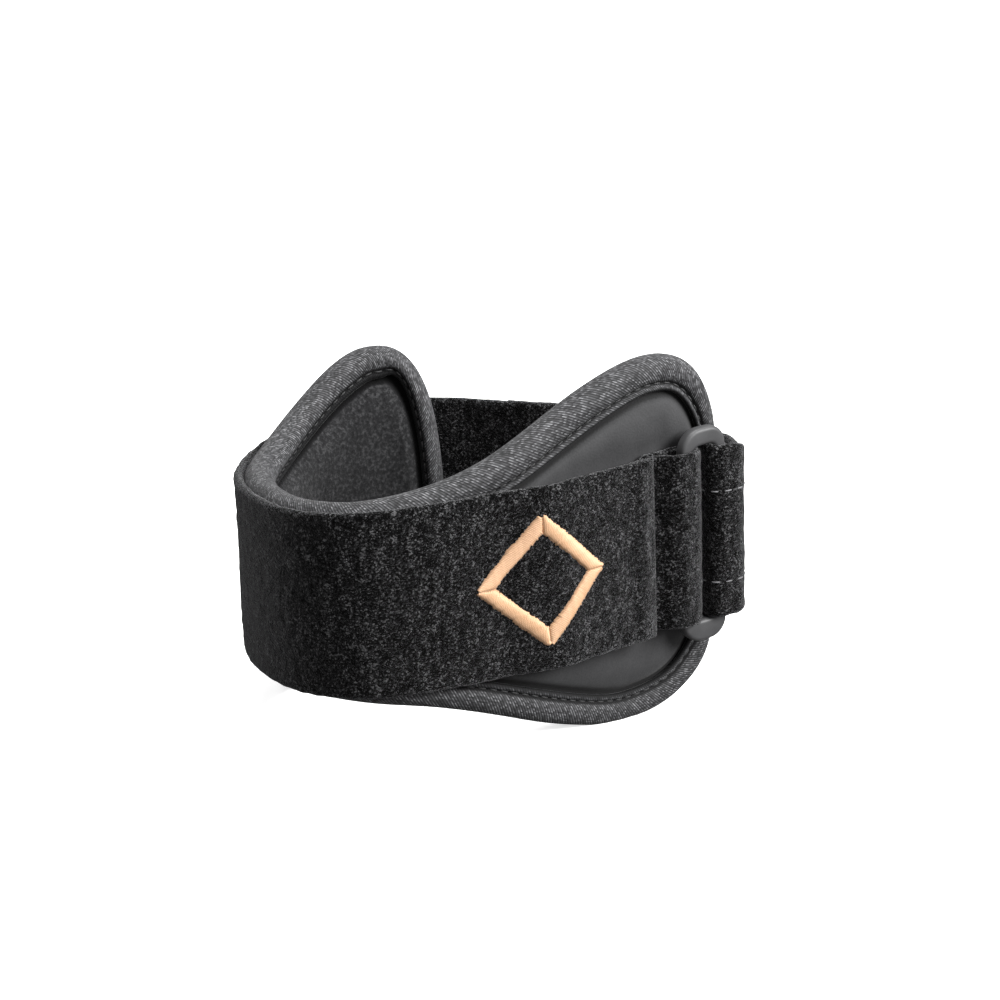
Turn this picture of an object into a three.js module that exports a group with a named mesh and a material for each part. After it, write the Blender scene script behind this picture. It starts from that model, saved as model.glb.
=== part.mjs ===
// Tennis elbow strap: an hourglass pad bent into a loop, with a strap round its outside that runs
// through a plastic ring and folds back on itself. Millimetres, +Z up, seen from the front along +Y.
import * as THREE from 'three';

// Plan of the loop, measured on the inner face of the strap
const LOOP_WIDTH = 104.5;
const LOOP_DEPTH = 79.2;

// Padded piece, laid flat
const REAR_REACH = 98;           // waist to the end of the rear lobe
const WAIST_WIDTH = 42.2;
const REAR_LOBE_WIDTH = 72.5;
const FRONT_LOBE_WIDTH = 80;
const LOBE_FULLNESS = 2.5;       // 2 is an elliptic end, more is squarer
const PAD_DROP = 0.75;           // the pad's middle line lies this much below the strap's
const PAD_THICKNESS = 7;

// Layers of cloth
const BINDING_WIDTH = 7.4;
const BINDING_THICKNESS = 1.5;
const LIP_THICKNESS = 1.25;      // the edging's two sewn edges, pressed flat
const FLAT_MARGIN = 2;           // flat strip inside the edging
const SWELL_WIDTH = 6;           // strip over which the padding then swells to its whole thickness
const STRAP_WIDTH = 40;
const STRAP_THICKNESS = 2;
const TAB_INSET = 0.5;           // the tab is this much narrower than the strap at each edge
const TAB_THICKNESS = 1.6;
const HOOK_WIDTH = 24;
const HOOK_THICKNESS = 1;
const HOOK_DROP = 2;             // the hook patch sits this much below the strap's middle
const HOOK_MARGIN = 4;           // and stops this far short of the strap's loose end
const GAP = 0.3;                 // between pieces that touch
const BAR_GAP = 0.5;             // between a bar of the ring and the cloth round it

// Plastic ring
const RING_WIDTH = 13;
const RING_PLAY = 0.5;           // between the strap's edges and the ring
const RING_BAR = 3.4;
const RING_THICKNESS = 2.8;
const RING_CORNER = 3.6;

// Places round the loop, measured anticlockwise from its right end
const RING_AT = -12.8;           // middle of the ring
const PAD_END_AT = -0.3;         // end of the front lobe
const PAD_STRAIGHT_AT = -4.3;    // the stiff front lobe runs straight on from here
const WAIST_AT = -111.8;         // narrowest place of the pad
const HEM_AT = -25.6;            // sewn end of the strap, over the tab
const HOOK_AT = 7;               // start of the hook patch, past the fold
const FREE_END_AT = 58;          // loose end of the strap, at the back
const TAB_END_AT = -49;
const STRAP_RISE = 15;           // length over which the strap climbs onto the tab

// Embroidered rhombus on the front of the strap
const MARK_AT = -54.4;
const MARK_WIDTH = 27;
const MARK_HEIGHT = 28;
const MARK_STROKE = 3.1;
const MARK_THICKNESS = 0.9;
const MARK_CORNER = 0.08;        // share of each side that its rounded corners take
const MARK_CROWN = 0.55;         // share of the stroke that is full height

// How the band stands
const LEAN = -4.1;               // degrees, the top leans to the left
const REST_SQUASH = 1;           // the edging flattens by this much on the surface

// Shares of a thickness taken off the corners of a section
const CLOTH_CORNER = 0.3;
const RING_BEVEL = 0.26;

const STEP = 3;                  // between cross-sections of the cloth

// Plan points from the right end, anticlockwise: shares of half the loop's width and depth
const PLAN = [
  { right: 1.01, back: 0.06 },
  { right: 0.96, back: 0.23 },
  { right: 0.76, back: 0.43 },
  { right: 0.30, back: 0.74 },
  { right: -0.13, back: 0.98 },
  { right: -0.40, back: 1.00 },
  { right: -0.63, back: 0.84 },
  { right: -0.83, back: 0.57 },
  { right: -0.95, back: 0.23 },
  { right: -0.99, back: -0.15 },
  { right: -0.91, back: -0.53 },
  { right: -0.74, back: -0.84 },
  { right: -0.49, back: -1.00 },
  { right: -0.21, back: -0.96 },
  { right: 0.09, back: -0.82 },
  { right: 0.38, back: -0.58 },
  { right: 0.66, back: -0.35 },
  { right: 0.83, back: -0.21 },
  { right: 0.96, back: -0.09 },
];

// Quarters of the pad's outline: full is the share of the reach at which the lobe has its whole width,
// round the share where its round end starts, and a larger delay makes the waist widen later
const QUARTERS = {
  rearUpper: { full: 0.82, round: 0.82, delay: 2.4 },
  frontUpper: { full: 0.81, round: 0.81, delay: 1.85 },
  rearLower: { full: 0.46, round: 0.80, delay: 2.2 },
  frontLower: { full: 0.73, round: 0.73, delay: 1.5 },
};

// Section of the edging from the outer lip round the rim to the inner lip: inward is a share of its
// width, face a share of half the pad's thickness from the pad's middle
const EDGING = [
  { inward: 1.00, face: 0.90 },
  { inward: 0.70, face: 0.86 },
  { inward: 0.60, face: 0.99 },
  { inward: 0.36, face: 1.00 },
  { inward: 0.13, face: 0.80 },
  { inward: 0.01, face: 0.36 },
];

const radians = THREE.MathUtils.degToRad;
const mix = THREE.MathUtils.lerp;
const smooth = THREE.MathUtils.smoothstep;

const loop = new THREE.CatmullRomCurve3(
  PLAN.map((p) => new THREE.Vector3(p.right * LOOP_WIDTH / 2, p.back * LOOP_DEPTH / 2, 0)), true);
loop.arcLengthDivisions = 1200;
const loopLength = loop.getLength();

// Point and outward direction of the loop at a distance round it
function planAt(along) {
  const u = THREE.MathUtils.euclideanModulo(along / loopLength, 1);
  const tangent = loop.getTangentAt(u);
  return { point: loop.getPointAt(u), tangent, outward: new THREE.Vector3(tangent.y, -tangent.x, 0) };
}

// A point of a layer: distance round the loop, height and distance outside the strap's inner face
function onLoop(along, height, out) {
  const { point, outward } = planAt(along);
  return point.addScaledVector(outward, out).setZ(height);
}

// A point of the pad: distance from its waist, height and distance outside the strap's inner face
function onPad(along, height, out) {
  const at = WAIST_AT + along;
  const past = Math.max(0, at - PAD_STRAIGHT_AT);
  const { point, tangent, outward } = planAt(at - past);
  return point.addScaledVector(tangent, past).addScaledVector(outward, out).setZ(height);
}

// Closed solid through rings of points, each ring listed in the same order
function loft(rings, closed) {
  const points = [];
  const numbers = new Map();
  const number = (p) => {
    const key = [p.x, p.y, p.z].map((v) => v.toFixed(3)).join();
    if (!numbers.has(key)) {
      numbers.set(key, points.length);
      points.push(p);
    }
    return numbers.get(key);
  };
  const ids = rings.map((ring) => ring.map(number));
  const faces = [];
  const add = (a, b, c) => {
    if (a !== b && b !== c && c !== a) faces.push([a, b, c]);
  };
  const size = ids[0].length;
  const last = closed ? ids.length : ids.length - 1;
  for (let i = 0; i < last; i += 1) {
    const here = ids[i];
    const next = ids[(i + 1) % ids.length];
    for (let j = 0; j < size; j += 1) {
      const k = (j + 1) % size;
      add(here[j], next[j], next[k]);
      add(here[j], next[k], here[k]);
    }
  }
  if (!closed) {
    const [first, end] = [ids[0], ids[ids.length - 1]];
    for (let j = 1; j < size - 1; j += 1) {
      add(first[0], first[j], first[j + 1]);
      add(end[0], end[j + 1], end[j]);
    }
  }
  return { points, faces };
}

// Mesh of a loft, with its faces pointing out
function solid(name, { points, faces }, colour, roughness, metalness = 0) {
  let volume = 0;
  for (const [a, b, c] of faces) {
    volume += points[a].dot(new THREE.Vector3().crossVectors(points[b], points[c]));
  }
  const turned = volume < 0 ? faces.map(([a, b, c]) => [a, c, b]) : faces;
  const geometry = new THREE.BufferGeometry().setFromPoints(points);
  geometry.setIndex(turned.flat());
  geometry.computeVertexNormals();
  const material = new THREE.MeshStandardMaterial({ color: colour, roughness, metalness });
  const mesh = new THREE.Mesh(geometry, material);
  mesh.name = name;
  return mesh;
}

// Upper or lower side of the pad's flat outline, from the rear end over the waist to the front end
function padSide(up, rear, front) {
  const roundSteps = 8;
  const waistSteps = 26;
  const rearHalf = { sign: -1, reach: REAR_REACH, width: REAR_LOBE_WIDTH, ...rear };
  const frontHalf = { sign: 1, reach: PAD_END_AT - WAIST_AT, width: FRONT_LOBE_WIDTH, ...front };
  const peak = (half) => half.reach * half.round;
  const flared = (along) => {
    const half = along < 0 ? rearHalf : frontHalf;
    const share = Math.min(1, Math.abs(along) / (half.reach * half.full)) ** half.delay;
    return { along, height: mix(WAIST_WIDTH, half.width, smooth(share, 0, 1)) / 2 };
  };
  const rounded = (half, step) => {
    const turn = step / roundSteps * Math.PI / 2;
    const bend = 2 / LOBE_FULLNESS;
    const long = mix(peak(half), half.reach, Math.cos(turn) ** bend);
    return { along: half.sign * long, height: half.width / 2 * Math.sin(turn) ** bend };
  };
  const steps = (count, at) => Array.from({ length: count }, (_, i) => at(i));
  const side = [
    ...steps(roundSteps, (i) => rounded(rearHalf, i)),
    ...steps(waistSteps + 1, (i) => flared(mix(-peak(rearHalf), peak(frontHalf), i / waistSteps))),
    ...steps(roundSteps, (i) => rounded(frontHalf, roundSteps - 1 - i)),
  ];
  return side.map((p) => ({ along: p.along, height: up * p.height - PAD_DROP }));
}

// The whole outline, closed, with the inward direction at each point
function padOutline() {
  const upper = padSide(1, QUARTERS.rearUpper, QUARTERS.frontUpper);
  const lower = padSide(-1, QUARTERS.rearLower, QUARTERS.frontLower);
  const all = [...upper, ...lower.slice(1, -1).reverse()];
  return all.map((p, i) => {
    const before = all[(i + all.length - 1) % all.length];
    const after = all[(i + 1) % all.length];
    const run = new THREE.Vector2(after.along - before.along, after.height - before.height).normalize();
    return { ...p, inward: new THREE.Vector2(run.y, -run.x) };
  });
}

const outline = padOutline();
const padMiddle = -GAP - PAD_THICKNESS / 2;
const padInset = BINDING_THICKNESS + GAP;
const swellFrom = BINDING_WIDTH + FLAT_MARGIN;
const underLip = PAD_THICKNESS / 2 * EDGING[0].face - LIP_THICKNESS - GAP;

// Distance from a flat point to the rim
function rimDistance(along, height) {
  return Math.min(...outline.map((p) => Math.hypot(p.along - along, p.height - height)));
}

// Cover or lining: full in the middle and thin under the edging; side is 1 outside and -1 inside
function padLayer(name, side, colour, rows) {
  const inset = outline.map((p) => new THREE.Vector2(p.along, p.height).addScaledVector(p.inward, padInset));
  const rings = inset.slice(0, inset.length / 2 + 1).map((top, i) => {
    const bottom = inset[(inset.length - i) % inset.length];
    const column = Array.from({ length: rows + 1 }, (_, j) => bottom.clone().lerp(top, j / rows));
    const face = (p) => {
      const full = smooth(rimDistance(p.x, p.y), swellFrom, swellFrom + SWELL_WIDTH);
      const reach = mix(underLip, PAD_THICKNESS / 2, full);
      return onPad(p.x, p.y, padMiddle + side * reach);
    };
    const seam = (p) => onPad(p.x, p.y, padMiddle + side * GAP / 2);
    return [...column.map(face), ...column.reverse().map(seam)];
  });
  return solid(name, loft(rings, false), colour, 0.95);
}

// Woven edging folded over the whole rim
function edgeBinding() {
  const outer = [...EDGING, ...EDGING.map((p) => ({ ...p, face: -p.face })).reverse()];
  const depth = (p) => p.inward * BINDING_WIDTH;
  const inner = outer.filter((p, i) => i !== 1 && i !== outer.length - 2).map((p) => {
    const lip = underLip + GAP;
    const face = THREE.MathUtils.clamp(p.face * PAD_THICKNESS / 2, -lip, lip);
    return { inward: Math.max(depth(p), BINDING_THICKNESS), face };
  });
  const skin = outer.map((p) => ({ inward: depth(p), face: p.face * PAD_THICKNESS / 2 }));
  const section = [...skin, ...inner.reverse()];
  const rings = outline.map((p) => section.map((q) => {
    const along = p.along + p.inward.x * q.inward;
    const height = p.height + p.inward.y * q.inward;
    return onPad(along, height, padMiddle + q.face);
  }));
  return solid('edge_binding', loft(rings, true), 0x2c2d30, 0.85);
}

// Flat band of cloth along a plan route, with its long edges rounded
function cloth(name, route, width, thickness, middle, colour) {
  const half = { out: thickness / 2, up: width / 2 };
  const corner = thickness * CLOTH_CORNER;
  const section = [
    { out: half.out, up: -half.up + corner }, { out: half.out, up: half.up - corner },
    { out: half.out - corner, up: half.up }, { out: -half.out + corner, up: half.up },
    { out: -half.out, up: half.up - corner }, { out: -half.out, up: -half.up + corner },
    { out: -half.out + corner, up: -half.up }, { out: half.out - corner, up: -half.up },
  ];
  const rings = route.map((p, i) => {
    const before = route[Math.max(0, i - 1)];
    const after = route[Math.min(route.length - 1, i + 1)];
    const run = after.clone().sub(before).normalize();
    const across = new THREE.Vector3(run.y, -run.x, 0);
    return section.map((q) => p.clone().addScaledVector(across, q.out).setZ(middle + q.up));
  });
  return solid(name, loft(rings, false), colour, 0.98);
}

// Points along the loop at a height above the strap's inner face that may change on the way
function along(from, to, out) {
  const count = Math.ceil(Math.abs(to - from) / STEP);
  return Array.from({ length: count + 1 }, (_, i) => {
    const at = mix(from, to, i / count);
    return onLoop(at, 0, out(at));
  });
}

// Ring's own plan frame: x along the loop towards its right end, y outwards
const ringPlan = planAt(RING_AT);
const turnRadius = (thickness) => RING_THICKNESS / 2 + BAR_GAP + thickness / 2;
const ringOut = STRAP_THICKNESS / 2 + turnRadius(STRAP_THICKNESS);
function byRing(x, y) {
  const { point, tangent, outward } = ringPlan;
  return point.clone().addScaledVector(tangent, x).addScaledVector(outward, ringOut + y);
}
const barOffset = (RING_WIDTH - RING_BAR) / 2;

// Half turn round a bar of the ring and on past it: side is 1 for the right bar and -1 for the left
function turnRound(side, thickness) {
  const turnSteps = 8;
  const radius = turnRadius(thickness);
  const slack = RING_BAR / 2 - RING_THICKNESS / 2;
  const turn = Array.from({ length: turnSteps + 1 }, (_, i) => {
    const angle = i / turnSteps * Math.PI;
    return byRing(side * (barOffset - slack - radius * Math.sin(angle)), -radius * Math.cos(angle));
  });
  return [...turn, byRing(side * (barOffset + RING_BAR / 2 + 2 * BAR_GAP), radius)];
}

// Heights of the strap's middle above the loop's plan, where it lies on the pad, on the tab or on itself
const onPadOut = STRAP_THICKNESS / 2;
const onTabOut = 2 * (TAB_THICKNESS + GAP) + STRAP_THICKNESS / 2;
const onStrapOut = STRAP_THICKNESS + GAP + STRAP_THICKNESS / 2;
const onHookOut = onStrapOut + HOOK_THICKNESS + GAP;
const strapOut = (at) => mix(onPadOut, onTabOut, smooth(at, TAB_END_AT - STRAP_RISE, TAB_END_AT));

function strap() {
  const foldAt = RING_AT + barOffset;
  const round = along(loopLength + HEM_AT, foldAt, (at) => strapOut(at - loopLength));
  const onHook = (at) => mix(onStrapOut, onHookOut, smooth(at, 0, HOOK_AT - HOOK_THICKNESS));
  const back = along(0, FREE_END_AT, onHook);
  const route = [...round.slice(0, -1), ...turnRound(1, STRAP_THICKNESS), ...back];
  return cloth('strap', route, STRAP_WIDTH, STRAP_THICKNESS, 0, 0x17171a);
}

// Short doubled tab that holds the ring's left bar
function ringTab() {
  const barAt = RING_AT - barOffset;
  const inner = TAB_THICKNESS / 2;
  const outer = inner + TAB_THICKNESS + GAP;
  const under = along(TAB_END_AT, barAt - 2 * BAR_GAP, () => inner);
  const over = along(HEM_AT + GAP, TAB_END_AT, () => outer);
  const route = [...under, ...turnRound(-1, TAB_THICKNESS), ...over];
  return cloth('ring_tab', route, STRAP_WIDTH - 2 * TAB_INSET, TAB_THICKNESS, 0, 0x1a1a1d);
}

// Patch of hooks between the strap and its folded-back end
function hookPatch() {
  const out = STRAP_THICKNESS + GAP + HOOK_THICKNESS / 2;
  const route = along(HOOK_AT, FREE_END_AT - HOOK_MARGIN, () => out);
  return cloth('hook_patch', route, HOOK_WIDTH, HOOK_THICKNESS, -HOOK_DROP, 0x202124);
}

// Rounded rectangle, sampled with its outward direction
function roundedFrame(width, height, corner, cornerSteps) {
  const frame = [];
  const centres = [[1, 1], [-1, 1], [-1, -1], [1, -1]];
  centres.forEach(([sx, sy], i) => {
    for (let j = 0; j <= cornerSteps; j += 1) {
      const angle = (i + j / cornerSteps) * Math.PI / 2;
      const facing = new THREE.Vector2(Math.cos(angle), Math.sin(angle));
      const x = sx * (width / 2 - corner) + facing.x * corner;
      const y = sy * (height / 2 - corner) + facing.y * corner;
      frame.push({ x, y, facing });
    }
  });
  return frame;
}

function ring() {
  const bevel = RING_THICKNESS * RING_BEVEL;
  const [wide, deep] = [RING_BAR / 2, RING_THICKNESS / 2];
  const section = [
    { in: wide, out: -deep + bevel }, { in: wide, out: deep - bevel },
    { in: wide - bevel, out: deep }, { in: -wide + bevel, out: deep },
    { in: -wide, out: deep - bevel }, { in: -wide, out: -deep + bevel },
    { in: -wide + bevel, out: -deep }, { in: wide - bevel, out: -deep },
  ];
  const corner = RING_CORNER - RING_BAR / 2;
  const height = STRAP_WIDTH + 2 * RING_PLAY + RING_BAR;
  const frame = roundedFrame(RING_WIDTH - RING_BAR, height, corner, 6);
  const rings = frame.map((p) => section.map((q) => {
    const x = p.x + p.facing.x * q.in;
    return byRing(x, q.out).setZ(p.y + p.facing.y * q.in);
  }));
  return solid('ring', loft(rings, true), 0x6f7073, 0.55);
}

// Embroidered rhombus with rounded corners, on the strap's outer face
function embroideredMark() {
  const corners = [[1, 0], [0, 1], [-1, 0], [0, -1]].map(([x, y]) =>
    new THREE.Vector2(x * (MARK_WIDTH - MARK_STROKE) / 2, y * (MARK_HEIGHT - MARK_STROKE) / 2));
  const sideSteps = 6;
  const path = corners.flatMap((from, i) => Array.from({ length: sideSteps + 1 }, (_, j) => {
    const share = mix(MARK_CORNER, 1 - MARK_CORNER, j / sideSteps);
    return from.clone().lerp(corners[(i + 1) % corners.length], share);
  }));
  const rings = path.map((p, i) => {
    const before = path[(i + path.length - 1) % path.length];
    const run = path[(i + 1) % path.length].clone().sub(before).normalize();
    const across = new THREE.Vector2(run.y, -run.x);
    const place = (side, rise) => {
      const at = MARK_AT + p.x + across.x * side * MARK_STROKE / 2;
      const out = strapOut(at) + STRAP_THICKNESS / 2 + GAP + rise * MARK_THICKNESS;
      return onLoop(at, p.y + across.y * side * MARK_STROKE / 2, out);
    };
    const crown = [place(-MARK_CROWN, 1), place(MARK_CROWN, 1)];
    return [place(-1, 0), place(-1, 0.5), ...crown, place(1, 0.5), place(1, 0)];
  });
  return solid('embroidered_mark', loft(rings, true), 0xe3b48f, 0.6);
}

// The band leans, both lobes come down onto the surface and the cloth flattens there
function stand(meshes) {
  const rimOf = (sign) => {
    const lobe = outline.filter((p) => p.along * sign > 0 && p.height < 0);
    return lobe.map((p) => onPad(p.along, p.height, padMiddle));
  };
  const rims = [rimOf(-1), rimOf(1)];
  const lean = new THREE.Matrix4().makeRotationY(radians(LEAN));
  const lowest = (points, turn) => {
    return points.map((p) => p.clone().applyMatrix4(turn)).sort((a, b) => a.z - b.z)[0];
  };
  let turn = lean;
  let pitch = 0;
  for (let i = 0; i < 4; i += 1) {
    const [rear, front] = rims.map((points) => lowest(points, turn));
    pitch += Math.atan2(front.z - rear.z, rear.y - front.y);
    turn = new THREE.Matrix4().makeRotationX(pitch).multiply(lean);
  }
  const points = meshes.map((mesh) => mesh.geometry.applyMatrix4(turn).getAttribute('position'));
  const heights = points.flatMap((p) => Array.from({ length: p.count }, (_, i) => p.getZ(i)));
  const floor = Math.min(...heights) + REST_SQUASH;
  points.forEach((p) => {
    for (let i = 0; i < p.count; i += 1) p.setZ(i, Math.max(0, p.getZ(i) - floor));
  });
}

const pieces = [
  padLayer('pad_cover', 1, 0x3a3b3e, 11),
  padLayer('pad_lining', -1, 0x3c3d3f, 9),
  edgeBinding(),
  strap(),
  ringTab(),
  ring(),
  hookPatch(),
  embroideredMark(),
];
stand(pieces);

const band = new THREE.Group();
band.add(...pieces);
const box = new THREE.Box3().setFromObject(band);
band.position.set(-(box.min.x + box.max.x) / 2, -(box.min.y + box.max.y) / 2, 0);

const part = new THREE.Group();
part.add(band);

export default part;
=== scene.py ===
# Tennis elbow strap, dressed for the picture. Lengths in the dictionaries are millimetres and angles
# degrees. Pieces are built in the loop's own frame: x right, y back, z up from the strap's middle.
import math

import bpy
import numpy as np
from mathutils import Matrix, Vector


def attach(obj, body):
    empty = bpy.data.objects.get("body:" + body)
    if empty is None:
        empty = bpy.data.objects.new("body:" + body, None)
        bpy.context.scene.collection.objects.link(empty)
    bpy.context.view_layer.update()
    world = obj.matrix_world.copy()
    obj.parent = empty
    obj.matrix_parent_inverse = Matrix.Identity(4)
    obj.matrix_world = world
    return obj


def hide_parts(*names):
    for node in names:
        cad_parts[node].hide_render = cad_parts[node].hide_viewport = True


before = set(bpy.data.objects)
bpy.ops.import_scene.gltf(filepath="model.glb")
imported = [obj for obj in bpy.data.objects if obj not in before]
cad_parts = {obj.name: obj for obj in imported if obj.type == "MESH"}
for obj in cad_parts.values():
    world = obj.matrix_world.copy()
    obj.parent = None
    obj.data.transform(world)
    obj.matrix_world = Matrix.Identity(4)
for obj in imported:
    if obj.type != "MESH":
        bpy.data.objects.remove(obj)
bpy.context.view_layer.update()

scene = bpy.context.scene

# Camera at the picture's angle
picture = {
    "place": (-7.56, -433.11, 161.19),
    "right": (0.9997, -0.0231, -0.001),
    "back": (-0.0221, -0.9659, 0.2579),
    "lens": 73.86,
    "sensor": 36,
    "near": 0.01,
    "far": 40,
}


def makeCamera():
    data = bpy.data.cameras.new("camera")
    data.lens, data.sensor_width = picture["lens"], picture["sensor"]
    data.clip_start, data.clip_end = picture["near"], picture["far"]
    camera = bpy.data.objects.new("camera", data)
    scene.collection.objects.link(camera)
    back = Vector(picture["back"]).normalized()
    up = back.cross(Vector(picture["right"])).normalized()
    turn = Matrix((up.cross(back), up, back)).transposed()
    camera.matrix_world = Matrix.Translation(Vector(picture["place"]) / 1000) @ turn.to_4x4()
    scene.camera = camera


makeCamera()
print("camera in place")

# The loop's plan on the inner face of the strap: shares of half its width and depth, right and back,
# anticlockwise from the right end
loop = {
    "width": 104.5,
    "depth": 79.2,
    "shares": [
        (1.01, 0.06), (0.96, 0.23), (0.76, 0.43), (0.30, 0.74), (-0.13, 0.98), (-0.40, 1.00),
        (-0.63, 0.84), (-0.83, 0.57), (-0.95, 0.23), (-0.99, -0.15), (-0.91, -0.53), (-0.74, -0.84),
        (-0.49, -1.00), (-0.21, -0.96), (0.09, -0.82), (0.38, -0.58), (0.66, -0.35), (0.83, -0.21),
        (0.96, -0.09),
    ],
    "perSpan": 80,
}

# How the band stands. The left end is drawn in a little at the top, and the right end is more upright
# than the rest.
stand = {
    "lean": -4.1, "pitch": 3.006, "lift": 38.2525, "shift": (-1.6409, -0.1935),
    "halfHeight": 20, "drawnIn": 1.8, "drawnFrom": 28, "drawnTo": 52,
    "upright": 0.6, "uprightFrom": 18, "uprightTo": 34,
}

# The pad laid flat. Each quarter: share of the reach with the whole width, share where the round end
# starts, how late the waist widens, fullness of the round end.
pad = {
    "waistAt": -111.8,
    "frontEndAt": -0.3,
    "straightFrom": -4.3,
    "rearReach": 98,
    "waistWidth": 42.2,
    "rearWidth": 71.9,
    "frontWidth": 80,
    "drop": 0.75,
    "thickness": 7,
    "gap": 0.3,
    "quarters": {
        "rearUpper": (0.82, 0.82, 2.4, 2.9),
        "frontUpper": (0.81, 0.81, 1.85, 2.5),
        "rearLower": (0.46, 0.80, 2.2, 2.5),
        "frontLower": (0.73, 0.73, 1.5, 2.5),
    },
}


# Smooth line through points, finely sampled
def curveThrough(points, closed=False, perSpan=24):
    p = np.asarray(points, float)
    count = len(p)
    t = np.arange(perSpan)[:, None] / perSpan
    spans = []
    for i in range(count if closed else count - 1):
        b, c = p[i], p[(i + 1) % count]
        a = p[i - 1] if closed or i > 0 else 2 * b - c
        d = p[(i + 2) % count] if closed or i < count - 2 else 2 * c - b
        k0, k1, k2 = (max(np.linalg.norm(q - r), 1e-6) ** 0.5 for q, r in ((a, b), (b, c), (c, d)))
        leave = ((b - a) / k0 - (c - a) / (k0 + k1) + (c - b) / k1) * k1
        arrive = ((c - b) / k1 - (d - b) / (k1 + k2) + (d - c) / k2) * k1
        bend = (2 * t**3 - 3 * t**2 + 1) * b + (t**3 - 2 * t**2 + t) * leave
        spans.append(bend + (3 * t**2 - 2 * t**3) * c + (t**3 - t**2) * arrive)
    spans.append(p[:1] if closed else p[-1:])
    return np.concatenate(spans)


# Distance along a line at each of its points
def lengths(line):
    return np.concatenate([[0], np.cumsum(np.linalg.norm(np.diff(line, axis=0), axis=1))])


# Values of a line at other distances along it
def sampled(line, at, where):
    return np.stack([np.interp(where, at, line[:, k]) for k in range(line.shape[1])], -1)


def evenly(line, step):
    at = lengths(line)
    return sampled(line, at, np.linspace(0, at[-1], max(2, round(at[-1] / step)) + 1))


def joined(line):
    return np.concatenate([line, line[:1]])


def normalised(vectors):
    return vectors / np.maximum(np.linalg.norm(vectors, axis=-1, keepdims=True), 1e-12)


def smooth(x, low, high):
    share = np.clip((x - low) / (high - low), 0, 1)
    return share * share * (3 - 2 * share)


def mix(a, b, share):
    return a + (b - a) * share


def bump(x, middle, reach):
    return np.exp(-(((x - middle) / reach) ** 2))


halfPlan = np.array([loop["width"], loop["depth"]]) / 2
loopLine = curveThrough(np.array(loop["shares"]) * halfPlan, closed=True, perSpan=loop["perSpan"])
loopAt = lengths(loopLine)
loopLength = loopAt[-1]
loopRun = joined(normalised(np.roll(loopLine[:-1], -1, 0) - np.roll(loopLine[:-1], 1, 0)))


# Point, run and outward direction at distances round the loop
def planAt(at):
    where = np.mod(at, loopLength)
    run = normalised(sampled(loopRun, loopAt, where))
    return sampled(loopLine, loopAt, where), run, np.stack([run[..., 1], -run[..., 0]], -1)


# Distance round the loop of the place nearest each plan point, from the right end either way
def nearestAt(plan):
    apart = np.linalg.norm(plan[:, None] - loopLine[None, :-1], axis=-1)
    at = loopAt[:-1][apart.argmin(1)]
    return np.where(at > loopLength / 2, at - loopLength, at)


# Distance round the loop, height and distance outside the strap's inner face, to a point
def onLoop(at, height, out):
    at, height, out = np.broadcast_arrays(np.asarray(at, float), height, out)
    point, _, outward = planAt(at)
    return np.concatenate([point + outward * out[..., None], height[..., None]], -1)


# The same from the pad's waist; the front end runs straight on where the loop turns its corner
def onPad(along, height, out):
    along, height, out = np.broadcast_arrays(np.asarray(along, float), height, out)
    at = pad["waistAt"] + along
    past = np.maximum(0, at - pad["straightFrom"])
    point, run, outward = planAt(at - past)
    plan = point + run * past[..., None] + outward * out[..., None]
    return np.concatenate([plan, height[..., None]], -1)


# From the loop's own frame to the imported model's, in metres
def place(points):
    bent = np.array(points, float)
    x, z = bent[..., 0].copy(), bent[..., 2]
    tall = np.clip(z / stand["halfHeight"], -1.2, 1.2)
    drawn = smooth(-x, stand["drawnFrom"], stand["drawnTo"]) * smooth(tall, -1, 1)
    upright = smooth(x, stand["uprightFrom"], stand["uprightTo"]) * tall
    bent[..., 0] += stand["drawnIn"] * drawn + stand["upright"] * upright
    lean, pitch = math.radians(stand["lean"]), math.radians(stand["pitch"])
    turn = np.array(Matrix.Rotation(pitch, 3, "X") @ Matrix.Rotation(lean, 3, "Y"))
    moved = bent @ turn.T + np.array([*stand["shift"], stand["lift"]])
    moved[..., 2] = np.maximum(moved[..., 2], 0)
    return moved / 1000


# Upper or lower side of the pad's outline, from the rear end to the front end
def padSide(up, rear, front, roundSteps, waistSteps):
    frontReach = pad["frontEndAt"] - pad["waistAt"]
    halves = [
        (-1, pad["rearReach"], pad["rearWidth"], *pad["quarters"][rear]),
        (1, frontReach, pad["frontWidth"], *pad["quarters"][front]),
    ]
    side = []
    for sign, reach, width, full, roundFrom, delay, fullness in halves:
        turn = np.arange(roundSteps) / roundSteps * math.pi / 2
        tip = mix(reach * roundFrom, reach, np.cos(turn) ** (2 / fullness))
        rounded = np.stack([sign * tip, width / 2 * np.sin(turn) ** (2 / fullness)], -1)
        along = np.linspace(reach * roundFrom, 0, waistSteps + 1)
        share = smooth(np.minimum(1, along / (reach * full)) ** delay, 0, 1)
        flared = np.stack([sign * along, mix(pad["waistWidth"], width, share) / 2], -1)
        side.append(np.concatenate([rounded, flared]))
    line = np.concatenate([side[0], side[1][-2::-1]])
    return line * (1, up) - (0, pad["drop"])


def padOutline(roundSteps, waistSteps):
    upper = padSide(1, "rearUpper", "frontUpper", roundSteps, waistSteps)
    return upper, padSide(-1, "rearLower", "frontLower", roundSteps, waistSteps)


def inwardOf(closedLine):
    run = normalised(np.roll(closedLine, -1, 0) - np.roll(closedLine, 1, 0))
    return np.stack([run[:, 1], -run[:, 0]], -1)


upperRim, lowerRim = padOutline(40, 60)
rimStep = 0.5
rimLine = evenly(curveThrough(np.concatenate([upperRim, lowerRim[-2:0:-1]]), True, 4), rimStep)[:-1]
padMiddle = -pad["gap"] - pad["thickness"] / 2


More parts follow.
